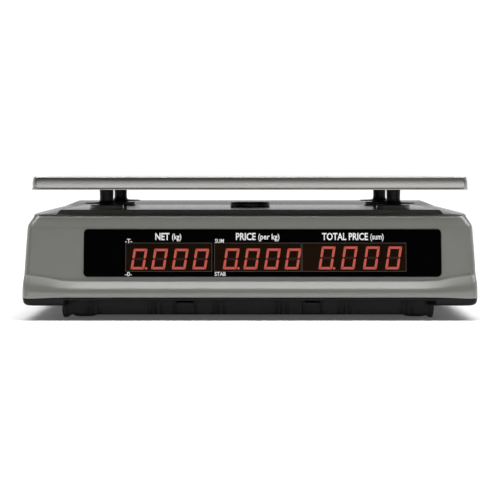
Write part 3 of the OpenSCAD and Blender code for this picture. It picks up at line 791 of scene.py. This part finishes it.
def corner_leg(sx, sy):
    """A short tapered leg that hangs from a corner of the tub."""
    x = TUB_X + sx * (TUB_W / 2 - 2.6)
    y = sy * (TUB_D / 2 - 5)
    loops = []
    for z, w, shift in ((TUB_LOW + 8, 5.6, 0.3), (TUB_LOW + 3, 5.4, 0.2), (TUB_LOW + 0.4, 7.4, -1.1),
                        (0.55, 2.9, 0.45)):
        loops.append([(x + sx * shift + px, y + py, z) for px, py in rounded(w, 8.5, 0.6, 3)])
    return loft(list(reversed(loops)))


def make_base():
    cutters = []
    for x, half in MOUTHS:
        mouth = ((x - half + 0.8, FLANGE_LOW + 2.4), (x + half - 0.8, FLANGE_LOW + 2.4),
                 (x + half, TUB_LOW + 0.8), (x - half, TUB_LOW + 0.8))
        cutters.append(loft([[(px, y, z) for px, z in mouth] for y in (-TUB_D / 2 - 12, -TUB_D / 2 + 2.2)]))
    for foot in FEET:
        cutters.append(lathe([(9.7, TUB_LOW - 3), (9.7, TUB_LOW + 1.9)], middle(foot).xy))
    for x, y in ((0, DECK_Y - 57), (0, DECK_Y - 43)):
        cutters.append(lathe([(6, TUB_LOW - 3), (6, TUB_LOW + 2)], (x, y), 32))
    cover_mid = middle("battery_cover")
    cutters.append(block(77.4, 107.4, TUB_LOW - 3, TUB_LOW + 1.6, 3, cx=cover_mid.x, cy=cover_mid.y))
    about = Matrix.Rotation(pi, 4, "Z")
    parts = [carved(base_tub(), merged(*cutters))] + near_wall_relief()
    parts += [moved(p, about) for p in near_wall_relief()]
    parts += [corner_leg(sx, sy) for sx in (-1, 1) for sy in (-1, 1)]
    for sx in (-1, 1):
        for i in range(7):
            y = (i - 3) * PILLAR_PITCH
            parts.append(slab(8.6, 8.6, TUB_LOW + 0.4, FLANGE_LOW + 0.6, 1.2, edge=0.3, corner=3,
                              cx=TUB_X + sx * (TUB_W / 2 - 2.4), cy=y))
    for y in (-120, -70, 70, 120):
        parts.append(slab(170, 2.4, TUB_LOW - 0.7, TUB_LOW + 1, 1, edge=0.3, cy=y, both=True))
    piece("base_shell", merged(*parts), M["base"], ("lower_base",))

    cover = slab(76.2, 106.2, TUB_LOW + 0.15, TUB_LOW + 1.3, 2.6, edge=0.3, cx=cover_mid.x,
                 cy=cover_mid.y, both=True)
    grips = [slab(34, 1.4, TUB_LOW - 0.45, TUB_LOW + 0.6, 0.6, edge=0.25, corner=4, cx=cover_mid.x,
                  cy=cover_mid.y + 34 + 3 * i, both=True) for i in range(5)]
    piece("battery_door", merged(cover, *grips), M["base"], ("battery_cover",))


def make_feet():
    """Knurled pads, each with a threaded stem."""
    profile = [(7.2, 0.0), (8.3, 0.25), (8.75, 0.9), (8.75, 1.3), (8.3, 1.7), (8.75, 2.1), (9.0, 2.5),
               (9.0, 5.2), (8.6, 5.7), (3.4, 5.8), (3.0, 6.4)]
    for i in range(7):
        profile += [(3.0, 7.0 + 1.8 * i), (2.6, 7.9 + 1.8 * i)]
    profile += [(2.6, 20.6), (2.0, 21.0)]
    for foot in FEET:
        pad = lathe(profile, middle(foot).xy, 96, teeth=24, depth=0.22)
        piece(foot + "_pad", pad, M["rubber"], (foot,), foot)


# ---- weighing platform

# Skirt of the platter: height above its lower edge, and inset from its widest line.
SKIRT = [(0.0, 0.45), (0.1, 0.15), (0.4, 0.0), (0.75, 0.05), (1.1, 0.3), (1.5, 0.5), (2.4, 0.48),
         (3.4, 0.44), (4.4, 0.43), (5.4, 0.47), (6.4, 0.57), (7.3, 0.70), (8.1, 0.86), (8.9, 1.06),
         (9.6, 1.28), (9.95, 1.45), (10.2, 1.7), (10.4, 2.1), (10.5, 2.8)]
SHEET = 1.0


def make_platter():
    w = PLATTER_HIGH.x - PLATTER_LOW.x
    d = PLATTER_HIGH.y - PLATTER_LOW.y
    tall = (PLATTER_HIGH.z - PLATTER_LOW.z) / SKIRT[-1][0]
    outside = [(PLATTER_LOW.z + h * tall, w - 2 * i, d - 2 * i, 4.6 - i * 0.5) for h, i in SKIRT]
    inside = [(z - SHEET * smooth((h - 4) / 6), wide - 2 * SHEET, deep - 2 * SHEET, r - SHEET * 0.6)
              for (z, wide, deep, r), (h, _) in zip(outside[:2:-1], SKIRT[:2:-1])]
    bm = stack(inside + outside, corner=8, cy=(PLATTER_LOW.y + PLATTER_HIGH.y) / 2)
    piece("platter_tray", bm, M["steel"], ("platter",), "platter", sharp=50)


# A post from its foot up, then from the level of its flange.
POST_FOOT = [(8.6, 0), (9.0, 0.4), (9.0, 3.6), (8.6, 4.0), (6.2, 4.3), (5.6, 5.0)]
BRIM_UP = 21.6
POST_BRIM = [(5.6, -0.9), (6.2, -0.25), (8.4, -0.05), (13.5, 0.1), (16.3, 0.25), (16.75, 0.4), (16.9, 0.65),
             (16.75, 0.9), (16.3, 1.0), (8.0, 1.35), (6.4, 1.6), (5.7, 2.2), (5.4, 3.2), (5.3, 5.0),
             (5.5, 13.4), (5.2, 14.1), (3.5, 14.3)]
PAD_FOOT = [(3.7, 0.1), (7.2, 0), (8.0, 0.8)]
PAD_TOP = [(8.0, -0.9), (7.3, -0.1), (5.5, 0), (5.0, -0.5), (1.0, -0.5)]


def make_posts():
    for post in POSTS:
        low, high = box(post)
        profile = above(low.z, POST_FOOT) + above(low.z + BRIM_UP, POST_BRIM)
        profile += above(high.z, [(3.5, -0.5), (3.0, 0)])
        pillar = lathe(profile, middle(post).xy, 72)
        piece(post + "_pillar", pillar, M["post"], (post,), "platform")
    low, high = box("platter_pads")
    profile = above(low.z, PAD_FOOT) + above(high.z, PAD_TOP)
    pads = [lathe(profile, middle(post).xy, 48) for post in POSTS]
    piece("post_pads", merged(*pads), M["rubber"], ("platter_pads",), "platform")


PLUG = [(9.9, -5.8), (9.9, 0), (15.6, 0), (16.1, 0.15), (16.35, 0.5), (16.35, 2.2), (16.1, 3.0), (15.4, 3.5),
        (14.4, PLUG_HEAD), (12.4, 3.6), (12.0, 3.3), (11.4, 3.25), (3, 3.3)]


def make_plug():
    plug = lathe(above(DECK_TOP, PLUG), (0, DECK_Y), 72)
    piece("deck_plug", plug, M["post"], ("centre_plug",))


# ---- displays

# Left edge and width of each module, then its first digit's left edge, digit pitch and height.
MODULES = ((-101.9, 64.5, -98.1, 15.3, 15.4), (-35.9, 64.8, -29.6, 15.3, 15.6),
           (29.3, 77.6, 41.5, 16.5, 17.1))
MODULE_Y = -3.2
MODULE_H = 21.6
DIGIT_BASE = -12.3
DIGIT_W = 10.2
SLANT = tan(radians(9))
STROKE = 1.8
# The decimal point's radius, and its middle from the digit's lower right corner.
DOT_R, DOT_X, DOT_Y = 0.95, 1.5, 0.8
# Segments of a figure eight: the shape, and whether it is mirrored across and upside down.
SEGMENTS = (("flat", False, False), ("upright", True, False), ("upright", True, True), ("flat", False, True),
            ("upright", False, True), ("upright", False, False), ("middle", False, False))
SEGMENT_GAP = 0.2
ZERO = (0, 1, 2, 3, 4, 5)
PRINT_Z = 0.10
SEGMENT_Z = 0.22


def segment(shape, mirrored, upended, w, h):
    """One bar of a digit, mitred where it meets the next, in the digit's own upright frame."""
    a, gap, mid = STROKE, SEGMENT_GAP, h / 2
    if shape == "flat":
        outline = [(gap, h), (a + gap, h - a), (w - a - gap, h - a), (w - gap, h)]
    elif shape == "upright":
        outline = [(0, h - gap), (0, mid + gap + a / 2), (a / 2, mid + gap), (a, mid + gap + a / 2),
                   (a, h - a - gap)]
    else:
        outline = [(a / 2 + gap, mid), (a + gap, mid - a / 2), (w - a - gap, mid - a / 2),
                   (w - a / 2 - gap, mid), (w - a - gap, mid + a / 2), (a + gap, mid + a / 2)]
    return [(w - x if mirrored else x, h - y if upended else y) for x, y in outline]


def raised(outline, low, high, slant=0.0, base=0.0):
    return loft([[(px + (py - base) * slant, py, z) for px, py in outline] for z in (low, high)])


def digit_bars(x, y, w, h, which):
    bars = []
    for i in which:
        outline = [(x + px, y + py) for px, py in segment(*SEGMENTS[i], w, h)]
        bars.append(raised(outline, SEGMENT_Z - 0.1, SEGMENT_Z, SLANT, y))
    return bars


def make_display(side, place, window_h):
    pane = slab(width_of(side + "_window"), window_h, -2.0, -0.03, 3.0, edge=0.35, corner=8)
    piece(side + "_pane", moved(pane, place), M["window"], (side + "_window",))
    edges, fields, on, off = [], [], [], []
    for left, width, first, pitch, height in MODULES:
        flat = {"edge": 0.02, "corner": 2, "cx": left + width / 2, "cy": MODULE_Y}
        edges.append(slab(width, MODULE_H, -0.05, 0.06, 0.3, **flat))
        fields.append(slab(width - 0.9, MODULE_H - 0.9, 0.0, 0.13, 0.3, **flat))
        for k in range(4):
            x = first + k * pitch
            on += digit_bars(x, DIGIT_BASE, DIGIT_W, height, ZERO)
            off += digit_bars(x, DIGIT_BASE, DIGIT_W, height, (6,))
            if k == 0:
                turns = [a * pi / 6 for a in range(12)]
                dot = [(x + DIGIT_W + DOT_X + DOT_R * cos(t), DIGIT_BASE + DOT_Y + DOT_R * sin(t))
                       for t in turns]
                on.append(raised(dot, SEGMENT_Z - 0.1, SEGMENT_Z))
    for name, parts, paint, stands_for, sharp in (
            ("_module_edges", edges, "module_edge", (side + "_digits",), 32),
            ("_module_fields", fields, "module", (), 32),
            ("_segments_on", on, "segment", (), 20), ("_segments_off", off, "segment_off", (), 20)):
        shape = moved(merged(*parts), place)
        piece(side + name, shape, M[paint], stands_for, sharp=sharp)


# Name, text, middle x, height above the upper row, capital height, width and boldness.
LABELS = (("net", "NET", -74.5, 0, 5.2, 10.6, 0.16), ("net_unit", "(kg)", -63.9, -0.1, 4.2, 6.9, 0.08),
          ("price", "PRICE", -12.4, 0, 5.2, 14.8, 0.16),
          ("price_unit", "(per kg)", 4.7, -0.1, 4.2, 15.8, 0.08),
          ("total", "TOTAL PRICE", 61.4, 0, 5.2, 34.2, 0.16),
          ("total_unit", "(sum)", 85.2, -0.1, 4.2, 9.9, 0.08),
          ("tare", "-T-", -99.6, -3.4, 3.2, 5.2, 0.04), ("zero", "-0-", -99.6, -28.1, 3.2, 5.2, 0.04),
          ("sum", "SUM", -32.1, -3.3, 2.9, 6.6, 0.06), ("stable", "STAB", -31.4, -28.0, 2.9, 8.2, 0.06))


def make_labels(side, place, row):
    for name, text, x, y, size, width, bold in LABELS:
        lettering(f"{side}_print_{name}", text, at(place, x, row + y, PRINT_Z), size, width, M["print"],
                  "housing", bold)


# ---- console

LEGENDS = {"point": ".", "clear": "C", "tare": "T", "zero": "-0-"}
# A keycap from its skirt up: height, how much narrower it is, and its corners' radius.
KEYCAP = [(-4.8, 0, 1.3), (-1.9, 0, 1.3), (-0.9, 0.35, 1.5), (-0.45, 0.8, 1.6), (-0.15, 1.5, 1.7),
          (-0.02, 2.4, 1.8), (-0.1, 3.6, 1.8), (-0.26, 5.6, 1.6), (-0.36, 8, 1.2)]


def make_keys():
    for node in KEYS:
        place = key_frame(node)
        name, w = node[4:], key_size(node)
        layers = [(z, w - less, KEY_H - less, r) for z, less, r in KEYCAP]
        cap = moved(stack(layers, corner=6), place)
        dark = name in ("tare", "zero") or name.startswith("m")
        paint = "key_red" if name == "clear" else "key_dark" if dark else "key"
        piece(node + "_cap", cap, M[paint], (node,), node)
        ink = M["dark_print"] if paint == "key" else M["print"]
        text = LEGENDS.get(name, name.upper())
        size = 4.2 if len(text) < 3 else 3.2
        lettering(node + "_legend", text, at(place, 0, 0, -0.33), size, None, ink, node, 0.08)


def make_console():
    """The film round the keys, and the round bubble level."""
    spots = [key_frame(k).translation for k in KEYS]
    low, high = (Vector([end(spot[i] for spot in spots) for i in range(3)]) for end in (min, max))
    place = key_frame("key_5").copy()
    place.translation = (low + high) / 2
    film = moved(slab(182, 52, 0.02, 0.28, 3, edge=0.1), at(place, 2.3, 0, -2.2))
    piece("console_film", carved(film, merged(*key_wells())), M["overlay"])

    level = facing("level_body", *ON_CONSOLE)
    ring = lathe([(7.5, -6.0), (8.8, -6.0), (8.8, -1.5), (11.2, -1.4), (11.8, -1.15), (12.0, -0.7),
                  (11.7, -0.25), (11.0, 0.0), (8.6, 0.0), (7.9, -0.25), (7.5, -0.8)], steps=72, ring=True)
    glass = lathe([(7.4, -6.0), (7.4, -0.9), (7.0, -0.55), (5.0, -0.35), (2.0, -0.25)])
    bubble = lathe([(2.3, -0.5), (2.2, -0.2), (1.6, -0.05), (0.6, 0.0)], (0.5, 0.4), 40)
    mark = lathe([(3.1, -0.4), (3.4, -0.4), (3.4, -0.12), (3.1, -0.12)], steps=48, ring=True)
    for name, shape, paint, slot, stands_for in (
            ("level_ring", ring, "post", "post_plastic", ("level_body",)),
            ("level_glass", glass, "vial", "vial", ("level_vial",)),
            ("level_bubble", bubble, "bubble", "vial", ()), ("level_mark", mark, "dark_print", "vial", ())):
        piece(name, moved(shape, level), M[paint], stands_for)


# ---- power

ROCKER_TURN = -7
# Half of the rocker's lengthwise section: distance from its axis, underside and top.
ROCKER = [(6.7, -1.7, 2.35), (6.4, -1.9, 2.6), (4.4, -2.5, 2.25), (2.2, -3.0, 1.95)]


def make_power():
    """The rocker switch and the mains inlet in the side wall."""
    bezel = carved(slab(17, 23, -1.0, 0.0, 1.5, edge=0.4), block(10.2, 15.2, -5, 5, 0.7))
    well = carved(slab(13, 18.8, -10, -0.7, 0.8, edge=0.05), block(10.2, 15.2, -9, 5, 0.7))
    shape = moved(merged(bezel, well), SWITCH)
    piece("switch_bezel", shape, M["post"], ("switch_body",))

    pivot = next(j for j in frame["joints"] if j["name"] == "power_rocker")["pos_m"]
    rest = Matrix.Translation(Vector(pivot) / MM) @ SWITCH.to_3x3().to_4x4()
    rest = rest @ Matrix.Rotation(radians(ROCKER_TURN), 4, "X")
    loops = []
    for y, z0, z1 in [(-y, z0, z1) for y, z0, z1 in ROCKER] + [(0, -3.4, 1.8)] + ROCKER[::-1]:
        loops.append([(-4.6, y, z0), (4.6, y, z0), (4.6, y, z1 - 0.3), (4.3, y, z1), (-4.3, y, z1),
                      (-4.6, y, z1 - 0.3)])
    piece("switch_paddle", moved(loft(loops), rest), M["rocker"], ("switch_rocker",), "rocker")
    for name, mark, y, bold in (("on", "I", 3.6, 0.08), ("off", "O", -3.6, 0.05)):
        lettering("switch_mark_" + name, mark, at(rest, 0, y, 2.24), 2.4, None, M["print"], "rocker",
                  bold)

    plate = carved(slab(24, 15, -1.0, 0.0, 2, edge=0.4), block(15.2, 8.0, -13.5, 5, 3.9))
    well = carved(slab(18.8, 10.4, -17, -0.7, 1, edge=0.05), block(15.2, 8.0, -13.5, 5, 3.9))
    shape = moved(merged(plate, well), INLET)
    piece("inlet_shell", shape, M["post"], ("mains_inlet",))
    pins = [lathe([(1.2, -14), (1.2, -3.6), (0.8, -2.9), (0.3, -2.7)], (s * 4.3, 0), 24) for s in (-1, 1)]
    piece("inlet_pins", moved(merged(*pins), INLET), M["brass"])


# ---- load cell

def make_load_cell():
    """The CAD beam, copied in milled aluminium in place of the CAD part."""
    mesh = frame["nodes"]["load_cell"].data.copy()
    mesh.materials.clear()
    mesh.materials.append(M["aluminium"])
    beam = placed("load_cell_beam", mesh)
    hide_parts("load_cell")
    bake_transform(beam)


# ---- parts that keep their CAD shape

def paint_frame():
    paints = {
        "zinc": ("platter_stiffeners", "post_screws", "cell_base_bolts", "cell_top_bolts", "overload_stops",
                 "housing_screws"),
        "frame_paint": ("platform_spider", "cell_base_spacer", "cell_top_spacer"),
        "board": ("customer_board", "operator_board", "main_board", "keypad_board"),
        "coil": ("transformer",), "battery": ("battery",), "rubber": ("dome_mat",),
    }
    for paint, nodes in paints.items():
        for node in nodes:
            for slot in frame["nodes"][node].material_slots:
                slot.material = M[paint]


# ---- stage

WHITE = (1, 1, 1, 1)
# The floor's reach is in metres, like the places of the lights and the camera.
FLOOR_HALF = 6.0
FLOOR_COLOR = (0.96, 0.96, 0.96)
FLOOR_GLOW = 0.06
FLOOR_FADE = (0.45, 1.1)
# Brightness of the room behind the scale, on the customer's side, overhead and below.
WORLD_BACK = 1.0
WORLD_FRONT = 0.05
WORLD_HIGH = 0.3
WORLD_LOW = 0.8
WORLD_SEEN = 1.1


def mixed(tree, share, first, second, output):
    """Sends a mix of two shaders to the output node."""
    mixer = add(tree, "MixShader", Fac=share)
    tree.links.new(first, mixer.inputs[1])
    tree.links.new(second, mixer.inputs[2])
    connect(tree, output, Surface=mixer.outputs["Shader"])


def joined(tree, operation, first, second):
    node = add(tree, "Math")
    node.operation = operation
    tree.links.new(first, node.inputs[0])
    tree.links.new(second, node.inputs[1])
    return node.outputs["Value"]


def make_stage():
    """A pale floor that fades out far from the scale, so that it meets the white room without a line."""
    bm = bmesh.new()
    corners = ((-1, -1), (1, -1), (1, 1), (-1, 1))
    bm.faces.new([bm.verts.new((x * FLOOR_HALF, y * FLOOR_HALF, 0)) for x, y in corners])
    mesh = as_mesh("floor", bm)
    floor = placed("floor", mesh)
    mat, tree, shader = material("floor", FLOOR_COLOR, 0.7, specular=0.2)
    connect(tree, shader, Emission_Color=WHITE, Emission_Strength=FLOOR_GLOW)
    mesh.materials.append(mat)
    coords = add(tree, "TexCoord")
    reach = add(tree, "VectorMath")
    reach.operation = "LENGTH"
    tree.links.new(coords.outputs["Object"], reach.inputs[0])
    edge = ramped(tree, reach.outputs["Value"], FLOOR_FADE, (0, 1))
    clear = add(tree, "BsdfTransparent")
    mixed(tree, edge, shader.outputs["BSDF"], clear.outputs["BSDF"], tree.nodes["Material Output"])
    bpy.context.scene.view_settings.view_transform = "Standard"
    make_world()


def make_world():
    """A white room: bright behind the scale and below, dim on the customer's side."""
    world = bpy.data.worlds.new("studio")
    world.use_nodes = True
    tree = world.node_tree
    coords = add(tree, "TexCoord")
    axes = add(tree, "SeparateXYZ", Vector=coords.outputs["Generated"])
    back = ramped(tree, axes.outputs["Y"], (-0.5, 0.2), (WORLD_FRONT, WORLD_BACK))
    high = ramped(tree, axes.outputs["Z"], (0.1, 0.7), (1.0, WORLD_HIGH))
    low = ramped(tree, axes.outputs["Z"], (-0.06, -0.01), (WORLD_LOW, 0.0))
    most = joined(tree, "MAXIMUM", joined(tree, "MULTIPLY", back, high), low)
    sky = tree.nodes["Background"]
    connect(tree, sky, Color=WHITE, Strength=most)
    seen = add(tree, "Background", Color=WHITE, Strength=WORLD_SEEN)
    path = add(tree, "LightPath")
    mixed(tree, path.outputs["Is Camera Ray"], sky.outputs["Background"], seen.outputs["Background"],
          tree.nodes["World Output"])
    bpy.context.scene.world = world


def area_light(name, place, target, size, power):
    light = bpy.data.lights.new(name, "AREA")
    light.shape = "RECTANGLE"
    light.size, light.size_y = size
    light.energy = power
    obj = placed(name, light)
    obj.location = place
    obj.rotation_euler = (Vector(target) - Vector(place)).to_track_quat("-Z", "Y").to_euler()


def make_lights():
    area_light("overhead", (0.1, 0.5, 1.7), (0.1, 0.5, 0), (1.9, 1.2), 25)
    area_light("lip_strip", (0.3, -0.16, 1.5), (0.3, -0.16, 0), (3.0, 0.26), 28)
    area_light("front_strip", (0.3, -2.0, 0.2), (0.05, -0.15, 0.06), (3.0, 0.4), 6.5)


CAMERA_AWAY = 1.305
CAMERA_HEIGHT = 0.1096
# Degrees below the level.
CAMERA_DIP = 2.92


def make_camera():
    camera = bpy.data.cameras.new("camera")
    camera.lens = 110
    camera.sensor_width = 36
    camera.clip_start = 0.05
    camera.clip_end = 50
    obj = placed("camera", camera)
    obj.location = (0, -CAMERA_AWAY, CAMERA_HEIGHT)
    obj.rotation_euler = (radians(90 - CAMERA_DIP), 0, 0)
    bpy.context.scene.camera = obj


make_camera()
make_stage()
make_lights()
make_casing()
make_base()
make_feet()
make_platter()
make_posts()
make_plug()
make_display("customer", CUSTOMER, 35.6)
make_display("operator", OPERATOR, 34.0)
make_labels("customer", CUSTOMER, 12.3)
make_labels("operator", OPERATOR, 12.0)
make_keys()
make_console()
make_power()
make_load_cell()
paint_frame()
